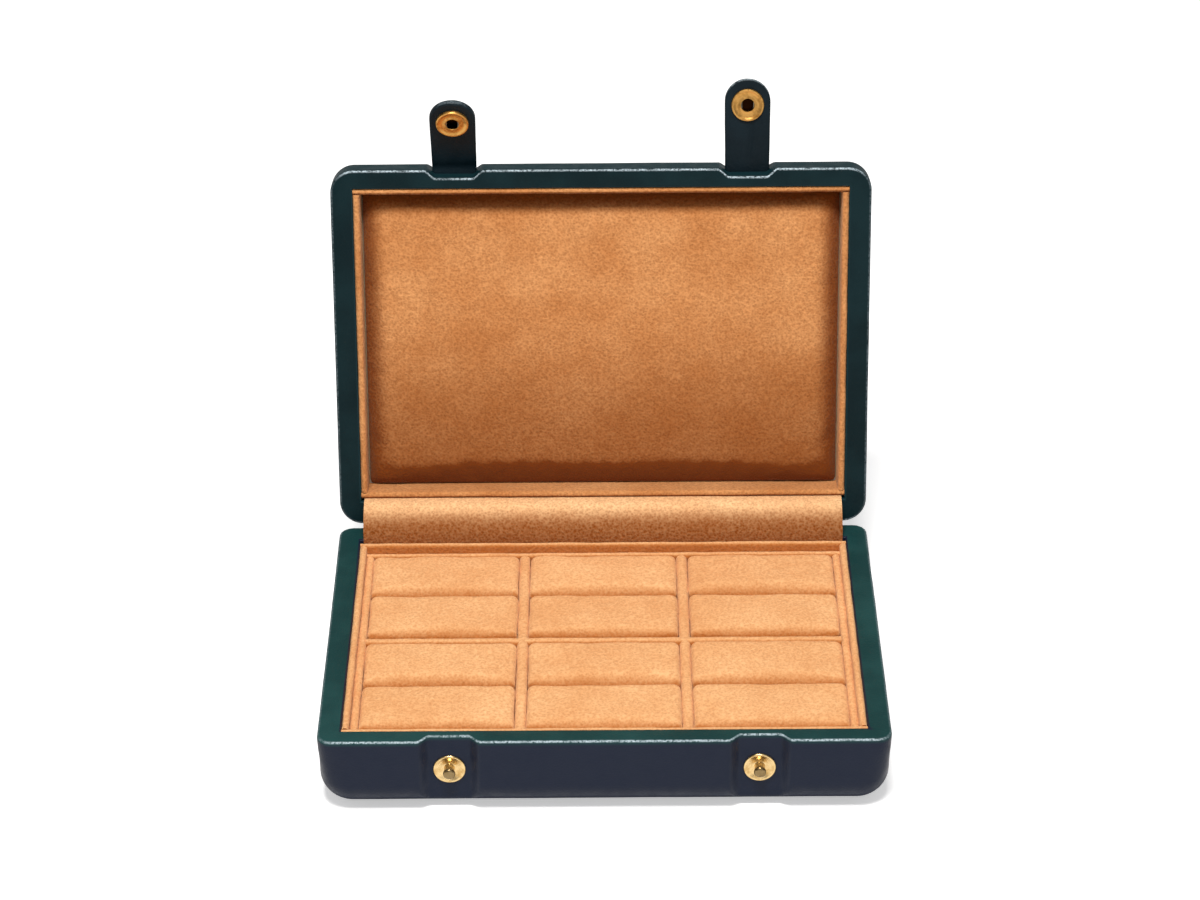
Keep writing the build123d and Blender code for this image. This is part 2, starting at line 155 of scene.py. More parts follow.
def block(name, x, y, z):
    """A block between limits, ready to be shaped."""
    bpy.ops.object.select_all(action="DESELECT")
    centre = [(low + high) / 2 * MM for low, high in (x, y, z)]
    size = [(high - low) * MM for low, high in (x, y, z)]
    bpy.ops.mesh.primitive_cube_add(size=1, location=centre, scale=size)
    obj = bpy.context.object
    obj.name = name
    bpy.ops.object.transform_apply(location=True, rotation=True, scale=True)
    return obj


def rod(radius, depth, place, sides, rotation=(0, 0, 0)):
    """A round cutter about a place, upright unless it is turned."""
    bpy.ops.object.select_all(action="DESELECT")
    bpy.ops.mesh.primitive_cylinder_add(vertices=sides, radius=radius * MM, depth=depth * MM,
                                        location=Vector(place) * MM, rotation=rotation)
    bpy.ops.object.transform_apply(location=True, rotation=True, scale=True)
    return bpy.context.object


def shape(obj, kind, pick, operator, **settings):
    """Select in edit mode what pick() accepts and run one operator on it."""
    only(obj)
    bpy.ops.object.mode_set(mode="EDIT")
    bpy.ops.mesh.select_mode(type=kind)
    bpy.ops.mesh.select_all(action="DESELECT")
    mesh = bmesh.from_edit_mesh(obj.data)
    items = {"VERT": mesh.verts, "EDGE": mesh.edges, "FACE": mesh.faces}[kind]
    for item in items:
        if pick(item):
            item.select_set(True)
    bmesh.update_edit_mesh(obj.data)
    operator(**settings)
    bpy.ops.object.mode_set(mode="OBJECT")


def at(value, place):
    """Whether a value of a mesh, in metres, lies at a place in millimetres."""
    return abs(value - place * MM) < 0.00002


def runs(edge, axis):
    """Whether an edge runs along an axis."""
    line = edge.verts[1].co - edge.verts[0].co
    return abs(line[axis]) > 0.99 * line.length


def level(edge, axis, place):
    """Whether both ends of an edge lie at a place along an axis."""
    return all(at(v.co[axis], place) for v in edge.verts)


def bevel(obj, pick, width, segments):
    """Round the edges that pick() accepts."""
    shape(obj, "EDGE", pick, bpy.ops.mesh.bevel, offset=width * MM, segments=segments, clamp_overlap=False)


def slices(obj, axis, places):
    """Cut a mesh right through at places along an axis, so that it can be softened between the cuts."""
    only(obj)
    bpy.ops.object.mode_set(mode="EDIT")
    normal = [0.0, 0.0, 0.0]
    normal[axis] = 1.0
    for place in places:
        point = [0.0, 0.0, 0.0]
        point[axis] = place * MM
        bpy.ops.mesh.select_all(action="SELECT")
        bpy.ops.mesh.bisect(plane_co=point, plane_no=normal, threshold=0.00001)
    bpy.ops.object.mode_set(mode="OBJECT")


def steps(low, high, pitch):
    """Evenly spread places inside two limits."""
    count = max(round((high - low) / pitch), 2)
    return [low + (high - low) * i / count for i in range(1, count)]


def cut_away(obj, cutter):
    """Cut one closed shape out of another."""
    only(obj)
    modifier = obj.modifiers.new("cut", "BOOLEAN")
    modifier.object = cutter
    modifier.operation = "DIFFERENCE"
    modifier.solver = "EXACT"
    bpy.ops.object.modifier_apply(modifier="cut")
    bpy.data.objects.remove(cutter, do_unlink=True)


def soften(obj, amount, size, seed, keep=None):
    """Lift and dip a surface a little, as cloth or leather over a board."""
    shift = Vector((seed * 3.7, seed * 1.3, seed * 2.1))
    mesh = obj.data
    normals = [v.normal.copy() for v in mesh.vertices]
    for v, normal in zip(mesh.vertices, normals):
        if keep and keep(v.co):
            continue
        wave = noise.noise(v.co / (size * MM) + shift) + 0.5 * noise.noise(v.co / (size * 0.4 * MM) + shift)
        v.co += normal * (wave * amount * MM)


def mark(obj, name, value):
    """Give each vertex a value of its own, which a material reads by its name."""
    marks = obj.data.attributes.new(name, "FLOAT", "POINT")
    marks.data.foreach_set("value", [value(v) for v in obj.data.vertices])


def finished(obj, mat, body=None, replaces=(), matrix=None, angle=50):
    """Clean the mesh, put it in its place and give it its finish, slot and body."""
    only(obj)
    bpy.ops.object.mode_set(mode="EDIT")
    bpy.ops.mesh.select_all(action="SELECT")
    bpy.ops.mesh.remove_doubles(threshold=0.000005)
    bpy.ops.mesh.normals_make_consistent(inside=False)
    bpy.ops.object.mode_set(mode="OBJECT")
    if matrix is not None:
        obj.data.transform(matrix)
    bpy.ops.object.shade_smooth_by_angle(angle=math.radians(angle))
    obj.data.materials.clear()
    obj.data.materials.append(mat)
    if body:
        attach(obj, body)
    if replaces:
        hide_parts(*replaces)
    return obj


# Finishes

class Finish:
    """A procedural material, built up node by node on Object coordinates."""

    def __init__(self, name):
        self.mat = bpy.data.materials.new(name)
        self.mat.use_nodes = True
        self.nodes = self.mat.node_tree.nodes
        self.shader = self.nodes["Principled BSDF"]
        places = self.nodes.new("ShaderNodeTexCoord")
        self.coordinates, self.normals = places.outputs["Object"], places.outputs["Normal"]

    def link(self, source, target):
        self.mat.node_tree.links.new(source, target)

    def set(self, **values):
        for name, value in values.items():
            self.shader.inputs[name.replace("_", " ")].default_value = value

    def stretched(self, scale):
        node = self.nodes.new("ShaderNodeMapping")
        node.inputs["Scale"].default_value = scale
        self.link(self.coordinates, node.inputs["Vector"])
        return node.outputs["Vector"]

    def noise(self, scale, detail=3.0, rough=0.55, vector=None):
        node = self.nodes.new("ShaderNodeTexNoise")
        node.inputs["Scale"].default_value = scale
        node.inputs["Detail"].default_value = detail
        node.inputs["Roughness"].default_value = rough
        self.link(vector or self.coordinates, node.inputs["Vector"])
        return node.outputs["Fac"]

    def cells(self, scale):
        node = self.nodes.new("ShaderNodeTexVoronoi")
        node.inputs["Scale"].default_value = scale
        self.link(self.coordinates, node.inputs["Vector"])
        return node.outputs["Distance"]

    def facing(self, direction):
        """How far the surface faces a direction of the object, from -1 to 1."""
        node = self.nodes.new("ShaderNodeVectorMath")
        node.operation = "DOT_PRODUCT"
        node.inputs[1].default_value = direction
        self.link(self.normals, node.inputs[0])
        return node.outputs["Value"]

    def attribute(self, name):
        node = self.nodes.new("ShaderNodeAttribute")
        node.attribute_name = name
        return node.outputs["Fac"]

    def math(self, kind, a, b):
        node = self.nodes.new("ShaderNodeMath")
        node.operation = kind
        for socket, value in zip(node.inputs, (a, b)):
            if isinstance(value, (int, float)):
                socket.default_value = value
            else:
                self.link(value, socket)
        return node.outputs[0]

    def between(self, value, low, high, to_low=0.0, to_high=1.0):
        node = self.nodes.new("ShaderNodeMapRange")
        node.interpolation_type = "SMOOTHSTEP"
        limits = {"From Min": low, "From Max": high, "To Min": to_low, "To Max": to_high}
        for name, number in limits.items():
            node.inputs[name].default_value = number
        self.link(value, node.inputs["Value"])
        return node.outputs["Result"]

    def mix(self, share, a, b):
        node = self.nodes.new("ShaderNodeMix")
        node.data_type = "RGBA"
        self.link(share, node.inputs[0])
        for socket, value in ((node.inputs[6], a), (node.inputs[7], b)):
            if isinstance(value, tuple):
                socket.default_value = value
            else:
                self.link(value, socket)
        return node.outputs[2]

    def bump(self, height, strength, distance, normal=None):
        node = self.nodes.new("ShaderNodeBump")
        node.inputs["Strength"].default_value = strength
        node.inputs["Distance"].default_value = distance
        self.link(height, node.inputs["Height"])
        if normal is not None:
            self.link(normal, node.inputs["Normal"])
        return node.outputs["Normal"]

    def wire(self, name, source):
        self.link(source, self.shader.inputs[name])


def leather_finish(name, deep, pale, wall, shine):
    """Fine-grained dyed leather, with a painted reflection tone on its walls and a speckled painted
    highlight along its marked edges.
    """
    f = Finish(name)
    tone = f.mix(f.between(f.noise(55, 4), 0.35, 0.68), deep, pale)
    # The walls take a bluer painted reflection tone.
    tone = f.mix(f.attribute("wall"), tone, wall)
    speckle = f.between(f.noise(1500, 2, 0.7), 0.3, 0.62)
    patches = f.between(f.noise(160, 3), 0.3, 0.55, 0.4, 1.0)
    # A speckled painted highlight along the marked edges.
    painted_highlight = f.math("MULTIPLY", f.math("MULTIPLY", f.attribute("painted_highlight"), speckle), patches)
    f.wire("Base Color", f.mix(painted_highlight, tone, HIGHLIGHT_TINT))
    f.wire("Roughness", f.between(f.noise(240, 4), 0.3, 0.7, 0.36, 0.5))
    grain = f.math("ADD", f.cells(1700), f.math("MULTIPLY", f.noise(900, 4), 0.8))
    f.wire("Normal", f.bump(grain, 0.32, 0.00012, f.bump(f.noise(90, 3), 0.12, 0.0005)))
    f.set(Specular_IOR_Level=shine)
    return f.mat


def suede_finish(name, deep, pale, dusk, shaded_way, start, end):
    """Napped suede: pebbled, darker with painted shade where it faces a given way and where a piece is
    marked with painted shade.
    """
    f = Finish(name)
    mottle = f.between(f.noise(46, 4, 0.6), 0.25, 0.78)
    tone = f.mix(mottle, deep, pale)
    # Painted shade where the surface faces the given way.
    facing_shade = f.between(f.facing(shaded_way), start, end)
    pebble = f.math("ADD", f.noise(980, 5, 0.65), f.math("MULTIPLY", f.cells(1300), 0.5))
    nap = f.between(pebble, 0.4, 1.1, 1.0, 0.0)
    # The share of painted shade, from the facing and from a piece's marks.
    lie = f.math("ADD", f.math("MULTIPLY", facing_shade, 0.8), f.attribute("painted_shade"))
    shade = f.math("MULTIPLY", nap, f.math("SUBTRACT", 0.48, f.math("MULTIPLY", lie, 0.34)))
    shade = f.math("ADD", shade, lie)
    f.wire("Base Color", f.mix(shade, tone, dusk))
    f.wire("Normal", f.bump(pebble, 0.8, 0.0004, f.bump(f.noise(130, 3), 0.3, 0.0009)))
    f.set(Roughness=0.95, Sheen_Weight=0.3, Sheen_Roughness=0.45, Sheen_Tint=SHEEN, Specular_IOR_Level=0.1)
    return f.mat


def brass_finish(name, bright, tarnish, rough):
    """Brass or steel with fine scratches and a little tarnish, darker where a piece is marked with painted
    shade or a painted dark reflection.
    """
    f = Finish(name)
    tone = f.mix(f.between(f.noise(420, 4, 0.6), 0.42, 0.75), bright, tarnish)
    f.wire("Base Color", f.mix(f.attribute("painted_dark"), tone, PAINTED_DARK))
    scratches = f.noise(900, 3, 0.6, f.stretched((1.0, 6.0, 1.0)))
    f.wire("Roughness", f.between(scratches, 0.3, 0.75, rough, rough + 0.16))
    f.wire("Normal", f.bump(scratches, 0.12, 0.00005))
    f.set(Metallic=1.0)
    return f.mat


def board_finish(name, dark, light):
    """Wood or grey board with a fibrous grain."""
    f = Finish(name)
    fibres = f.noise(260, 5, 0.6, f.stretched((1.0, 7.0, 7.0)))
    f.wire("Base Color", f.mix(fibres, dark, light))
    f.wire("Normal", f.bump(fibres, 0.3, 0.0002))
    f.set(Roughness=0.85)
    return f.mat


def linear(r, g, b):
    """An sRGB colour of 0 to 255 as linear values."""
    out = []
    for c in (r, g, b):
        c /= 255
        out.append(c / 12.92 if c <= 0.04045 else ((c + 0.055) / 1.055) ** 2.4)
    return (*out, 1.0)


# The first colour is a painted highlight; the third is painted shade and painted dark reflection on brass.
HIGHLIGHT_TINT, SHEEN, PAINTED_DARK = linear(180, 196, 204), linear(255, 222, 184), linear(34, 14, 4)

LEATHER = leather_finish("leather_base", linear(16, 52, 52), linear(26, 64, 63),
                         linear(18, 27, 46), 0.18)
LID_LEATHER = leather_finish("leather_lid", linear(4, 25, 29), linear(10, 34, 38),
                             linear(14, 42, 47), 0.12)
STRAP_LEATHER = leather_finish("leather_strap", linear(5, 18, 24), linear(12, 27, 34),
                               linear(10, 20, 26), 0.14)

# Suede gets painted shade where it faces one of these ways. The underside's limits are past any facing.
FRONT, DOWN = (0, -1, 0), (0, 0, -1)
SUEDE = suede_finish("suede_tray", linear(226, 168, 114), linear(240, 188, 134),
                     linear(172, 98, 40), FRONT, 0.15, 0.95)
# A paler copy of the tray's suede: painted light on the gusset.
GUSSET_SUEDE = suede_finish("suede_gusset", linear(246, 192, 138), linear(252, 206, 152),
                            linear(130, 66, 16), FRONT, 0.22, 0.92)
# A darker copy of the tray's suede: painted shade, as the lid takes less light.
LID_SUEDE = suede_finish("suede_lid", linear(194, 128, 74), linear(218, 156, 100),
                         linear(116, 56, 12), DOWN, -0.18, 0.35)
UNDERSIDE = suede_finish("underside_cloth", linear(24, 34, 38), linear(38, 50, 54),
                         linear(14, 22, 26), DOWN, 2, 3)

STUD_BRASS = brass_finish("brass_stud", linear(236, 204, 146), linear(196, 156, 92), 0.2)
SOCKET_BRASS = brass_finish("brass_socket", linear(208, 156, 84), linear(150, 102, 44), 0.3)
SPRING_STEEL = brass_finish("spring_wire", linear(150, 140, 122), linear(110, 98, 80), 0.3)
WOOD = board_finish("carcass_wood", linear(150, 122, 88), linear(186, 156, 116))
BOARD = board_finish("grey_board", linear(116, 108, 98), linear(150, 142, 130))


# Leather shells

def sink_channels(obj, depth, rim_z):
    """Press the strap channels into the front wall; they run out where the rounded edge falls away."""
    front_zone, rim_zone, rim_skin, turn_in = 15, 6, 1.2, 0.5
    for v in obj.data.vertices:
        x, y, z = v.co / MM
        if y > front_zone - HALF_D:
            continue
        reach = min(abs(x - SNAP_X), abs(x + SNAP_X))
        share = 1 - smooth(reach, CHANNEL_BED / 2 - turn_in, CHANNEL_OPENING / 2 + turn_in)
        if abs(z - rim_z) >= rim_zone:
            y = max(y, depth * share - HALF_D)
        elif y < rim_skin - HALF_D:
            y += depth * share
        v.co.y = y * MM


def mark_leather(obj, rim_z):
    """Mark where a highlight is painted on the rim's outer edge, and the walls, whose bluer tone is a
    painted reflection.
    """
    # A highlight is painted along the rounded outer edge of the rim, fainter towards the sides.
    def painted_highlight(v):
        from_rim = abs(v.co.z / MM - rim_z)
        if from_rim < 0.01:
            return 0.0
        highlight_share = 1 - 0.75 * smooth(abs(v.co.x) / MM, HALF_W - 6, HALF_W - 1)
        return highlight_share * (1 - smooth(abs(from_rim - 0.2), 0.04, 0.32))

    mark(obj, "painted_highlight", painted_highlight)
    # The walls' bluer tone is a painted reflection.
    mark(obj, "wall", lambda v: smooth(abs(v.co.z / MM - rim_z), 0.2, 1.4))


def last_z(obj, inward):
    """The level of the cutter's outermost face."""
    levels = [v.co.z for v in obj.data.vertices]
    return min(levels) if inward > 0 else max(levels)


def cavity_cutter(rim_z, floor_z):
    """The hollow of a shell, flared at its mouth so that the leather turns in round a soft edge."""
    inward = 1 if floor_z > rim_z else -1
    start = rim_z + inward * CAVITY_ROUND
    cutter = block("cavity", (-CAVITY_X, CAVITY_X), (CAVITY_FRONT, CAVITY_BACK), sorted((start, floor_z)))
    centre_y = (CAVITY_FRONT + CAVITY_BACK) / 2
    half_x, half_y = CAVITY_X, (CAVITY_BACK - CAVITY_FRONT) / 2
    turns, overrun = 5, 0.6
    for step in range(1, turns + 2):
        angle = math.pi / 2 * min(step, turns) / turns
        grow = CAVITY_ROUND * (1 - math.cos(angle))
        rise = start - inward * (CAVITY_ROUND * math.sin(angle) + (overrun if step > turns else 0.0))
        mouth = last_z(cutter, inward)
        shape(cutter, "FACE", lambda f: abs(f.calc_center_median().z - mouth) < 1e-6,
              bpy.ops.mesh.extrude_region)
        for v in cutter.data.vertices:
            if v.select:
                v.co.x = math.copysign(half_x + grow, v.co.x) * MM
                v.co.y = (centre_y + math.copysign(half_y + grow, v.co.y / MM - centre_y)) * MM
                v.co.z = rise * MM
    return cutter


def square_corners(obj, corner, tight, far_z, rim_z):
    """Draw the upright corners out to a tighter round at the rim, easing back to the broad one below."""
    gap = corner - tight
    for v in obj.data.vertices:
        x, y, z = v.co / MM
        out = Vector((abs(x) - HALF_W + corner, abs(y) - HALF_D + corner))
        if min(out) <= 0:
            continue
        # A line out from the broad round's centre meets the tight round, or the flat wall beside it.
        way = out.normalized()
        along = gap * (way.x + way.y)
        reach = along + math.sqrt(max(along ** 2 - 2 * gap ** 2 + tight ** 2, 0.0))
        if reach * max(way) >= corner or reach * min(way) < gap:
            reach = corner / max(way)
        share = smooth(abs(z - far_z), 2, abs(rim_z - far_z))
        out *= 1 + share * (reach / corner - 1)
        v.co.x = math.copysign(out.x + HALF_W - corner, x) * MM
        v.co.y = math.copysign(out.y + HALF_D - corner, y) * MM


def shell(name, corner, edge, rim_z, far_z, floor_z, channel_depth, seed, tight=None):
    """A leather-covered half of the box: rounded outside, square cavity, channels in the front."""
    obj = block(name, (-HALF_W, HALF_W), (-HALF_D, HALF_D), sorted((rim_z, far_z)))
    bevel(obj, lambda e: runs(e, 2), corner, 12)
    bevel(obj, lambda e: level(e, 2, far_z), edge, 16)
    bevel(obj, lambda e: level(e, 2, rim_z), RIM_ROUND, 5)
    pitch, channel_pitch = 5.5, 0.45
    sides = [sign * step * channel_pitch for sign in (-1, 1) for step in range(10, 22)]
    near = [centre + reach for centre in SNAP_CENTRES.values() for reach in sides]
    slices(obj, 0, near + steps(-HALF_W, HALF_W, pitch))
    slices(obj, 1, steps(-HALF_D, HALF_D, pitch))
    inward = 1 if far_z > rim_z else -1
    slices(obj, 2, [rim_z + inward * from_rim for from_rim in (1.6, 4.5)])
    if tight:
        square_corners(obj, corner, tight, far_z, rim_z)
    sink_channels(obj, channel_depth, rim_z)
    mark_leather(obj, rim_z)
    soften(obj, 0.06, 18, seed)
    cut_away(obj, cavity_cutter(rim_z, floor_z))
    return obj


def bore_for_studs(obj):
    """Sink a shallow round seat for each stud into the bed of its channel, with the walls' bluer painted
    reflection tone.
    """
    for centre in SNAP_CENTRES.values():
        place = (centre, BASE_CHANNEL - HALF_D, SNAP_Z)
        cut_away(obj, rod(SEAT_RADIUS, 2 * SEAT_DEPTH, place, 64, rotation=(math.pi / 2, 0, 0)))
    wall = obj.data.attributes["wall"]
    for v in obj.data.vertices:
        x, y, z = v.co / MM
        if y < CAVITY_FRONT and math.hypot(abs(x) - SNAP_X, z - SNAP_Z) < SEAT_RADIUS + 0.1:
            wall.data[v.index].value = 1.0


base_shell = shell("base_leather_shell", corner=9.5, edge=9.2, rim_z=BASE_RIM, far_z=BASE_BOTTOM,
                   floor_z=FLOOR - 0.4, channel_depth=BASE_CHANNEL, seed=1, tight=4.0)
bore_for_studs(base_shell)
finished(base_shell, LEATHER, "base", ["base_leather"])
lid_shell = shell("lid_leather_shell", corner=7.2, edge=6.9, rim_z=LID_RIM, far_z=LID_TOP,
                  floor_z=CEILING + 0.2, channel_depth=LID_CHANNEL, seed=2)
finished(lid_shell, LID_LEATHER, "lid", ["lid_leather"], OPEN_LID)


# Linings, tray walls and dividers

def lining(name, node, x, y, z, free_z, radius, body, mat, seed):
    """A suede-covered board with soft free edges and a slightly uneven top."""
    obj = block(name, x, y, z)
    axis = 0 if x[1] - x[0] > y[1] - y[0] else 1
    bevel(obj, lambda e: runs(e, axis) and level(e, 2, free_z), radius, 5)
    slices(obj, axis, steps(*(x, y)[axis], 2.5))
    soften(obj, 0.13, 7, seed, keep=lambda co: abs(co.z - free_z * MM) > 4 * MM)
    matrix = OPEN_LID if body == "lid" else None
    return finished(obj, mat, body, [node], matrix)


def linings(body, z, free_z, mat, seed):
    """The four boards round the inside of one half."""
    sides = {
        "front": ((-CAVITY_X, CAVITY_X), (CAVITY_FRONT, LINING_FRONT)),
        "back": ((-CAVITY_X, CAVITY_X), (LINING_REAR, LINING_BACK)),
        "left": ((-CAVITY_X, -LINING_X), (LINING_FRONT, LINING_REAR)),
        "right": ((LINING_X, CAVITY_X), (LINING_FRONT, LINING_REAR)),
    }
    for index, (side, (x, y)) in enumerate(sides.items()):
        node = body + "_liner_" + side
        lining(node + "_suede", node, x, y, z, free_z, LINER_ROUND, body, mat, seed + index)


def tray_board(name, node, x, y, radius, seed):
    """A low board of the tray, a wall or a divider, free along its top."""
    lining(name, node, x, y, (TRAY_Z, TRAY_TOP), TRAY_TOP, radius, "base", SUEDE, seed)


def tray_walls():
    """The four walls of the tray, inside the base's linings."""
    sides = {
        "front": ((-LINING_X, LINING_X), (LINING_FRONT, TRAY_FRONT)),
        "back": ((-LINING_X, LINING_X), (TRAY_REAR, LINING_REAR)),
        "left": ((-LINING_X, -TRAY_X), (TRAY_FRONT, TRAY_REAR)),
        "right": ((TRAY_X, LINING_X), (TRAY_FRONT, TRAY_REAR)),
    }
    for index, (side, (x, y)) in enumerate(sides.items()):
        node = "tray_wall_" + side
        tray_board(node + "_suede", node, x, y, TRAY_WALL_ROUND, 30 + index)


def dividers():
    """The long divider and the short ones that cross it."""
    middle, half = (TRAY_FRONT + TRAY_REAR) / 2, DIVIDER / 2
    tray_board("divider_long_suede", "tray_divider_long", (-TRAY_X, TRAY_X), (middle - half, middle + half),
               DIVIDER_ROUND, 40)
    for index in range(COLUMNS - 1):
        centre = -TRAY_X + CELL_W * (index + 1) + DIVIDER * (index + 0.5)
        tray_board("divider_cross%d_suede" % (index + 1), "tray_divider_cross%d" % (index + 1),
                   (centre - half, centre + half), (TRAY_FRONT, TRAY_REAR), DIVIDER_ROUND, 41 + index)


linings("base", (FLOOR, BASE_RIM - LINER_DROP), BASE_RIM - LINER_DROP, SUEDE, 10)
linings("lid", (LID_RIM + LINER_DROP, CEILING), LID_RIM + LINER_DROP, LID_SUEDE, 20)
tray_walls()
dividers()


# Rolls

def roll_form(name, front_round):
    """One stuffed roll about the origin: a crisp back edge, a broad round front and a crowned top."""
    half, pitch = ROLL_D / 2, 1.3
    obj = block(name, (-ROLL_L / 2, ROLL_L / 2), (-half, half), (TRAY_Z, ROLL_TOP))
    bevel(obj, lambda e: runs(e, 2), ROLL_CORNER, 5)
    bevel(obj, lambda e: level(e, 2, ROLL_TOP), ROLL_EDGE, 5)
    slices(obj, 0, steps(-ROLL_L / 2, ROLL_L / 2, pitch))
    slices(obj, 1, steps(-half, half, pitch))
    for v in obj.data.vertices:
        x, y, z = v.co / MM
        if z < ROLL_TOP - ROLL_SHAPED:
            continue
        middle = 1 - (2 * x / ROLL_L) ** 4
        reach = front_round * (0.45 + 0.55 * middle)
        short = max(reach - (y + half), 0.0)
        fall = reach - math.sqrt(max(reach ** 2 - short ** 2, 0.0))
        fall = min(fall, reach * 0.75)
        crown = ROLL_CROWN * (1 - (y / half) ** 2) * middle
        v.co.z += (crown - fall * smooth(z, ROLL_TOP - ROLL_SHAPED, ROLL_TOP - 2)) * MM
    return obj


def place_rolls():
    """Twelve rolls, each with its own dents; the back roll of a pair has the broader front."""
    forms = {which: roll_form(which + "_roll_form", front) for which, front in ROLL_FRONT_ROUND.items()}
    dented = (ROLL_TOP - ROLL_DENTED) * MM
    for row in range(4):
        cell, pair = divmod(row, 2)
        y = TRAY_FRONT + cell * (CELL_D + DIVIDER) + CELL_D / 4 + pair * CELL_D / 2
        for column in range(COLUMNS):
            x = -TRAY_X + CELL_W / 2 + column * (CELL_W + DIVIDER)
            source = forms["back" if pair else "front"]
            node = "roll_row%d_col%d" % (row + 1, column + 1)
            obj = bpy.data.objects.new(node + "_suede", source.data.copy())
            bpy.context.scene.collection.objects.link(obj)
            obj.data.transform(Matrix.Translation(Vector((x, y, 0)) * MM))
            only(obj)
            soften(obj, 0.3, 11, 50 + row * 3 + column, keep=lambda co: co.z < dented)
            finished(obj, SUEDE, "base", [node], angle=60)
    for form in forms.values():
        bpy.data.objects.remove(form, do_unlink=True)


place_rolls()


# Lid cushion

def cushion_lift(x, y):
    """How far the cushion stands off its board: full in the middle, rolling down to its edges."""
    to_side = CUSHION_X - abs(x)
    to_end = min(y - CUSHION_FRONT, CUSHION_BACK - y)
    near = 1 / (1 / max(to_side, 0.01) ** 3 + 1 / max(to_end, 0.01) ** 3) ** (1 / 3)
    roll_down = min(near / 8.0, 1.0)
    return math.sqrt(1 - (1 - roll_down) ** 2)


def cushion_shade(v):
    """How much painted shade the cushion gets: a painted shadow under its front lining, painted shade where
    it rolls down to its sides, and more towards the hinge.
    """
    x, y = v.co.x / MM, v.co.y / MM
    side = 1 - smooth(CUSHION_X - abs(x), 1.0, 7.5)
    top = 1 - smooth(y - CUSHION_FRONT, 2.0, 9.0)
    low = 0.62 * smooth(y, -15.0, CUSHION_BACK - 6) + 0.25 * smooth(y, CUSHION_BACK - 12, CUSHION_BACK)
    return 1 - (1 - 0.85 * side) * (1 - 0.95 * top) * (1 - low)


def puff(obj, pinned):
    """Fill a cushion with a short cloth simulation, at ten times its size, held at its board."""
    scale, last_frame = 10.0, 20
    only(obj)
    obj.data.transform(Matrix.Scale(scale, 4))
    group = obj.vertex_groups.new(name="held")
    group.add(pinned, 1.0, "REPLACE")
    cloth = obj.modifiers.new("puff", "CLOTH")
    settings = cloth.settings
    settings.quality = 6
    settings.mass = 0.3
    settings.tension_stiffness = 12
    settings.compression_stiffness = 8
    settings.bending_stiffness = 2.0
    settings.shrink_min = -0.015
    settings.vertex_group_mass = "held"
    settings.use_pressure = True
    settings.uniform_pressure_force = 4
    settings.effector_weights.gravity = 0
    cloth.point_cache.frame_start = 1
    cloth.point_cache.frame_end = last_frame
    for number in range(1, last_frame + 1):
        bpy.context.scene.frame_set(number)
    only(obj)
    bpy.ops.object.modifier_apply(modifier="puff")
    bpy.context.scene.frame_set(1)
    obj.data.transform(Matrix.Scale(1 / scale, 4))
    obj.vertex_groups.clear()


def hold_in(obj, start):
    """Keep a filled cushion close to its first form and inside the lid's linings."""
    furthest = 0.9 * MM
    for v, was in zip(obj.data.vertices, start):
        moved = v.co - was
        if moved.length > furthest:
            moved *= furthest / moved.length
        v.co = was + moved
        v.co.x = min(max(v.co.x, -CUSHION_X * MM), CUSHION_X * MM)
        v.co.y = min(max(v.co.y, CUSHION_FRONT * MM), CUSHION_BACK * MM)


def make_cushion():
    """The suede cushion in the lid, modelled shut with its crown down towards the rolls."""
    obj = block("lid_cushion_suede", (-CUSHION_X, CUSHION_X), (CUSHION_FRONT, CUSHION_BACK),
                (CUSHION_CROWN, CUSHION_BOARD))
    pitch, rise = 2.2, CUSHION_BOARD - CUSHION_CROWN - 0.5
    slices(obj, 0, steps(-CUSHION_X, CUSHION_X, pitch))
    slices(obj, 1, steps(CUSHION_FRONT, CUSHION_BACK, pitch))
    for v in obj.data.vertices:
        x, y, z = v.co / MM
        if z < CUSHION_BOARD - 0.01:
            v.co.z = (CUSHION_BOARD - CUSHION_EDGE - rise * cushion_lift(x, y)) * MM
    start = [v.co.copy() for v in obj.data.vertices]
    puff(obj, [v.index for v in obj.data.vertices if v.co.z > (CUSHION_BOARD - 0.5) * MM])
    hold_in(obj, start)
    only(obj)
    smoother = obj.modifiers.new("smoother", "SUBSURF")
    smoother.levels = smoother.render_levels = 1
    bpy.ops.object.modifier_apply(modifier="smoother")
    soften(obj, 0.16, 26, 70, keep=lambda co: co.z > (CUSHION_BOARD - 0.6) * MM)
    # The cushion's painted shadow and painted shade.
    mark(obj, "painted_shade", cushion_shade)
    finished(obj, LID_SUEDE, "lid", ["lid_cushion"], OPEN_LID, angle=70)


make_cushion()


# Hinge

def hinge_strip(name, node, half, inner, outer, leg, mat, uneven):
    """A strip about the hinge line: a leg on the base, a bend built turn by turn and a leg on the lid."""
    y = sorted((HINGE[1] - inner, HINGE[1] - outer))
    obj = block(name, (-half, half), y, (HINGE[2] - leg, HINGE[2]))
    turns = 20
    only(obj)
    bpy.ops.object.mode_set(mode="EDIT")
    bpy.ops.mesh.select_mode(type="FACE")
    bpy.ops.mesh.select_all(action="DESELECT")
    mesh = bmesh.from_edit_mesh(obj.data)
    for face in mesh.faces:
        if at(face.calc_center_median().z, HINGE[2]):
            face.select_set(True)
    bmesh.update_edit_mesh(obj.data)
    moves = [about_x(HINGE, -LID_OPEN / turns)] * turns
    moves.append(Matrix.Translation((OPEN_LID.to_3x3() @ Vector((0, 0, leg))) * MM))
    for move in moves:
        bpy.ops.mesh.extrude_region()
        mesh = bmesh.from_edit_mesh(obj.data)
        bmesh.ops.transform(mesh, matrix=move, verts=[v for v in mesh.verts if v.select])
        bmesh.update_edit_mesh(obj.data)
    bpy.ops.object.mode_set(mode="OBJECT")
    slices(obj, 0, steps(-half, half, 2.5))
    soften(obj, uneven, 8, 80)
    finished(obj, mat, None, [node], angle=60)
    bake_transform(obj)
    return obj


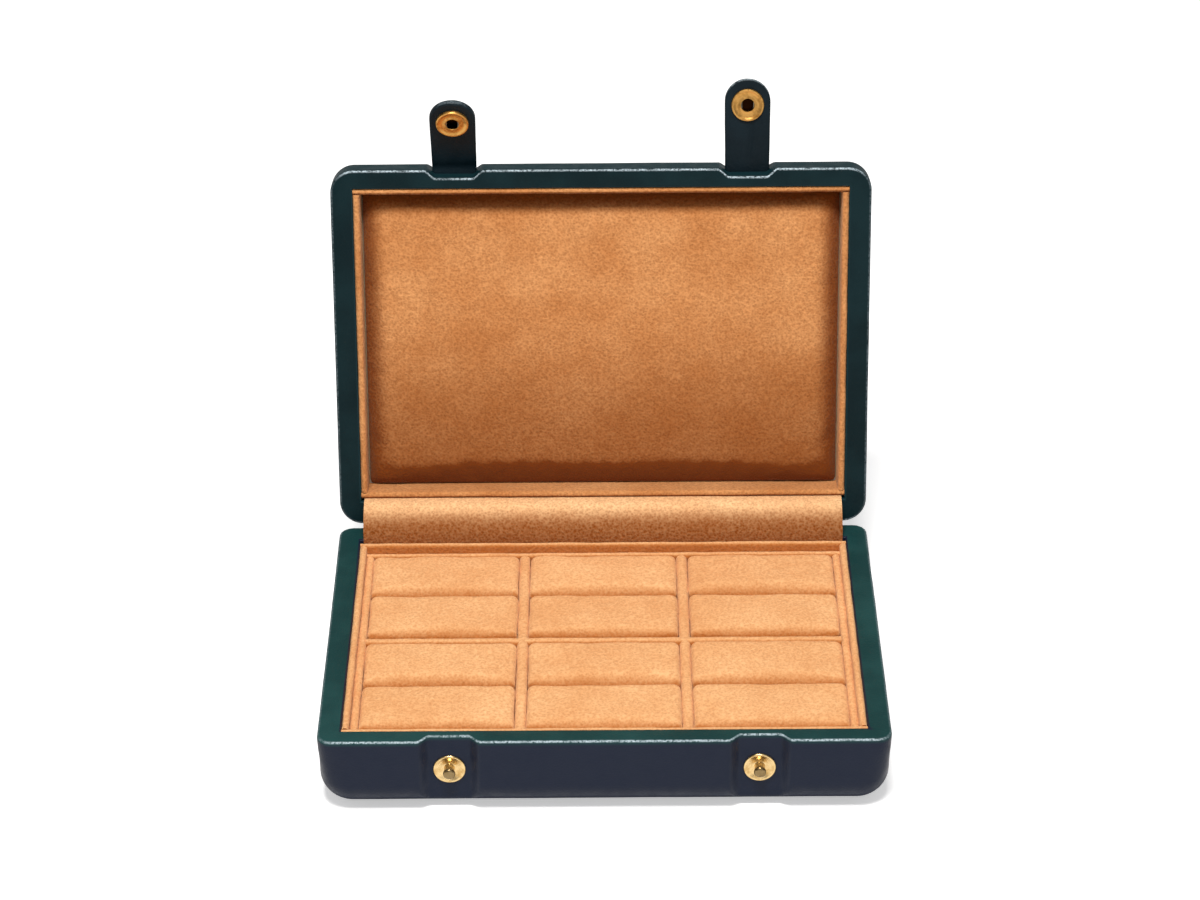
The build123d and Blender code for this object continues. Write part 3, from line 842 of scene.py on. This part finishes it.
gusset = hinge_strip("hinge_gusset_suede", "hinge_gusset", GUSSET_HALF, GUSSET_INNER, GUSSET_OUTER,
                     GUSSET_LEG, GUSSET_SUEDE, uneven=0.12)
hinge_strip("hinge_spine_leather", "hinge_spine", SPINE_HALF, -SPINE_THICK / 2, SPINE_THICK / 2,
            SPINE_LEG, STRAP_LEATHER, uneven=0.05)


# Straps

def strap_bend(side, share=1.0):
    """A strap's turn at its bend, from straight, or a share of that turn."""
    return about_x((0, STRAP_Y, STRAP_Z), (90 - STRAP_FOLD[side]) * share)


def crease(x, y, centre):
    """How far the underside of a used strap is pressed in, along a line that wanders to one side."""
    line = centre + 0.5 + 0.9 * smooth(-y, -STRAP_Y, 14 - STRAP_Y)
    depth = 0.22 * smooth(STRAP_Y - y, 0.5, 3) * (1 - smooth(STRAP_Y - y, 13, 15))
    return depth * (1 - smooth(abs(x - line), 0.1, 0.9))


def tip_highlight(v):
    """Where a highlight is painted on a bent strap: on its edge, more towards its tip."""
    return 0.5 * smooth(STRAP_Y - v.co.y / MM, 20, 26) if abs(v.normal.z) < 0.8 else 0.0


def make_strap(side):
    """A leather strap from its root in the lid's channel to its round tip, bent at its flex line."""
    centre = SNAP_CENTRES[side]
    root_y, tip_y = LID_CHANNEL - HALF_D + 0.7, STRAP_Y - STRAP_REACH
    across = (centre - STRAP_HALF_W, centre + STRAP_HALF_W)
    z = (STRAP_Z - STRAP_HALF_T, STRAP_Z + STRAP_HALF_T)
    obj = block("strap_%s_leather" % side, across, (tip_y, root_y), z)
    bevel(obj, lambda e: runs(e, 2) and level(e, 1, tip_y), STRAP_TIP_ROUND, 16)
    for face_z in z:
        bevel(obj, lambda e: level(e, 2, face_z) and not level(e, 1, root_y), STRAP_EDGE, 3)
    slices(obj, 1, steps(tip_y, root_y, 1.1))
    slices(obj, 0, [centre + step * 0.55 for step in range(-11, 12)])
    for v in obj.data.vertices:
        x, y, height = v.co / MM
        x = centre + (x - centre) * (1.008 - 0.03 * smooth(y, tip_y + 6, root_y))
        if side == "right" and height < STRAP_Z - STRAP_HALF_T + 0.1:
            height += crease(x, y, centre)
        v.co = Vector((x, y, height)) * MM
    cut_away(obj, rod(STRAP_HOLE, 6, (centre, STRAP_Y - SOCKET_REACH, STRAP_Z), 48))
    soften(obj, 0.05, 7, 90 + centre)
    before, after = 1.4, 2.0
    for v in obj.data.vertices:
        share = smooth(STRAP_Y * MM - v.co.y, -before * MM, after * MM)
        v.co = strap_bend(side, share) @ v.co
    # A painted highlight along the strap's edge, near its tip.
    mark(obj, "painted_highlight", tip_highlight)
    nodes = ["strap_" + side, "strap_root_" + side]
    finished(obj, STRAP_LEATHER, None, nodes, OPEN_LID)
    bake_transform(obj)


for side in ("left", "right"):
    make_strap(side)


# Snaps

# Each profile is a run of (radius, height), the stud's from its rim in to the top of its post.
STUD = [(4.7, -0.5), (4.7, 0.25), (4.62, 0.43), (4.44, 0.52), (4.22, 0.5), (3.95, 0.38), (3.3, 0.06),
        (2.4, -0.26), (1.85, -0.36), (1.6, -0.28), (1.5, 0.1), (1.48, 1.7), (1.58, 1.95), (1.74, 2.12),
        (1.78, 2.38), (1.74, 2.66), (1.58, 2.93), (1.25, 3.12), (0.75, 3.21), (0.02, 3.24)]
SOCKET = [(3.15, 1.0), (5.0, 1.0), (5.0, 1.55), (4.86, 1.84), (4.6, 1.95), (4.3, 1.9), (4.0, 1.68),
          (3.2, 1.6), (2.6, 1.66), (2.3, 1.8), (2.12, 1.8), (2.0, 1.66), (2.0, 1.5), (2.85, 1.42),
          (2.85, 0.95), (1.94, 0.9), (1.94, -0.5), (0.02, -0.56)]
STUD_POST, SOCKET_BORE = 1.9, 2.95


def turned(name, profile, centre):
    """Spin a profile about an upright axis."""
    mesh = bpy.data.meshes.new(name)
    obj = bpy.data.objects.new(name, mesh)
    bpy.context.scene.collection.objects.link(obj)
    points = [((centre + radius) * MM, 0, height * MM) for radius, height in profile]
    mesh.from_pydata(points, [(i, i + 1) for i in range(len(points) - 1)], [])
    shape(obj, "EDGE", lambda e: True, bpy.ops.mesh.spin, steps=72, angle=math.tau,
          center=(centre * MM, 0, 0), axis=(0, 0, 1))
    return obj


def mark_painted_dark(obj, centre, within, amount):
    """Paint a turned piece darker within a radius, by its height: painted shade or a painted dark
    reflection.
    """
    def painted_dark(v):
        radius = math.hypot(v.co.x - centre * MM, v.co.y) / MM
        return amount(v.co.z / MM) if radius < within else 0.0

    mark(obj, "painted_dark", painted_dark)


def make_stud(side):
    """The brass stud: a rolled rim, a dish that slopes to the post, and the post's round head."""
    centre = SNAP_CENTRES[side]
    obj = turned("stud_%s_brass" % side, STUD, centre)
    # The post and its head get a painted dark reflection.
    mark_painted_dark(obj, centre, STUD_POST, lambda height: 0.68 * smooth(height, 0.0, 0.6))
    place = Matrix.Translation(Vector((0, BASE_CHANNEL - HALF_D, SNAP_Z)) * MM)
    matrix = place @ Matrix.Rotation(math.pi / 2, 4, "X")
    finished(obj, STUD_BRASS, "base", ["stud_" + side], matrix, angle=40)


def make_socket(side):
    """The brass socket: a raised rim, a dished ring and a bore darkened with painted shade."""
    centre = SNAP_CENTRES[side]
    obj = turned("socket_%s_brass" % side, SOCKET, centre)
    # The bore below the dished ring gets painted shade.
    mark_painted_dark(obj, centre, SOCKET_BORE, lambda height: 1 - smooth(height, 1.2, 1.72))
    place = Matrix.Translation(Vector((0, STRAP_Y - SOCKET_REACH, STRAP_Z)) * MM)
    matrix = OPEN_LID @ strap_bend(side) @ (place @ Matrix.Rotation(math.pi, 4, "X"))
    finished(obj, SOCKET_BRASS, "strap_" + side, ["socket_" + side], matrix, angle=35)


for side in ("left", "right"):
    make_stud(side)
    make_socket(side)


# Finishes of the CAD nodes that still show

def finish_cad_nodes():
    """The wooden shells, the boards, the underside's cloth and the hidden pieces of the snaps."""
    finishes = {
        "base_carcass": WOOD,
        "lid_carcass": WOOD,
        "tray_floor": SUEDE,
        "lid_cushion_board": BOARD,
        "base_underside": UNDERSIDE,
    }
    for side in ("left", "right"):
        finishes["stud_rivet_" + side] = STUD_BRASS
        finishes["cap_" + side] = SOCKET_BRASS
        finishes["spring_" + side] = SPRING_STEEL
    for obj in bpy.context.scene.objects:
        node = obj.get("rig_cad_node")
        if node and not obj.hide_render:
            for s in obj.material_slots:
                s.link = "OBJECT"
                s.material = finishes[node]


finish_cad_nodes()


# Studio

def aim_camera():
    """The camera, turned by its pitch, yaw and roll."""
    pitch, yaw, roll = (math.radians(v) for v in (CAMERA_PITCH, CAMERA_YAW, CAMERA_ROLL))
    ahead = Vector((math.sin(yaw) * math.cos(pitch), math.cos(yaw) * math.cos(pitch), -math.sin(pitch)))
    right = Vector((math.cos(yaw), -math.sin(yaw), 0))
    down = ahead.cross(right)
    side = right * math.cos(roll) + down * math.sin(roll)
    drop = down * math.cos(roll) - right * math.sin(roll)
    data = bpy.data.cameras.new("camera")
    data.lens = CAMERA_LENS
    data.sensor_width = CAMERA_SENSOR
    data.sensor_fit = "HORIZONTAL"
    camera = bpy.data.objects.new("camera", data)
    bpy.context.scene.collection.objects.link(camera)
    aim = Matrix((side, -drop, -ahead)).transposed().to_4x4()
    camera.matrix_world = Matrix.Translation(Vector(CAMERA_AT) * MM) @ aim
    bpy.context.scene.camera = camera


def light(name, place, toward, size, power, colour):
    """A soft lamp, in metres, aimed at a place."""
    data = bpy.data.lights.new(name, "AREA")
    data.shape = "RECTANGLE"
    data.size, data.size_y = size
    data.energy = power
    data.color = colour
    lamp = bpy.data.objects.new(name, data)
    bpy.context.scene.collection.objects.link(lamp)
    lamp.location = place
    lamp.rotation_euler = (Vector(toward) - Vector(place)).to_track_quat("-Z", "Y").to_euler()


def seen(tree, hidden, shown, target):
    """Give a strength one value for the camera and another for everything else."""
    path = tree.nodes.new("ShaderNodeLightPath")
    strength = tree.nodes.new("ShaderNodeMapRange")
    strength.inputs["To Min"].default_value = hidden
    strength.inputs["To Max"].default_value = shown
    tree.links.new(path.outputs["Is Camera Ray"], strength.inputs["Value"])
    tree.links.new(strength.outputs["Result"], target)


def white_floor():
    """A broad floor that glows a little for the camera, so that the box stands on white."""
    bpy.ops.object.select_all(action="DESELECT")
    bpy.ops.mesh.primitive_plane_add(size=6, location=(0, 1, 0))
    floor = bpy.context.object
    floor.name = "studio_floor"
    finish = Finish("studio_white")
    finish.set(Base_Color=(0.93, 0.93, 0.93, 1), Roughness=0.9, Emission_Color=(1, 1, 1, 1))
    seen(finish.mat.node_tree, 0.0, 0.45, finish.shader.inputs["Emission Strength"])
    floor.data.materials.append(finish.mat)


def white_world():
    """A world that is dim as a light and white to the camera."""
    world = bpy.data.worlds.new("studio")
    bpy.context.scene.world = world
    world.use_nodes = True
    background = world.node_tree.nodes["Background"]
    background.inputs["Color"].default_value = (1, 1, 1, 1)
    seen(world.node_tree, 0.3, 1.0, background.inputs["Strength"])


aim_camera()
white_floor()
white_world()
light("key", (-0.05, -0.36, 1.08), (0, 0, 0.05), (0.3, 0.26), 14, (1.0, 0.98, 0.96))
light("front_fill", (0.2, -1.2, 0.35), (0, 0, 0.08), (0.8, 0.4), 1.3, (0.94, 0.96, 1.0))
bpy.context.scene.view_settings.view_transform = "Standard"
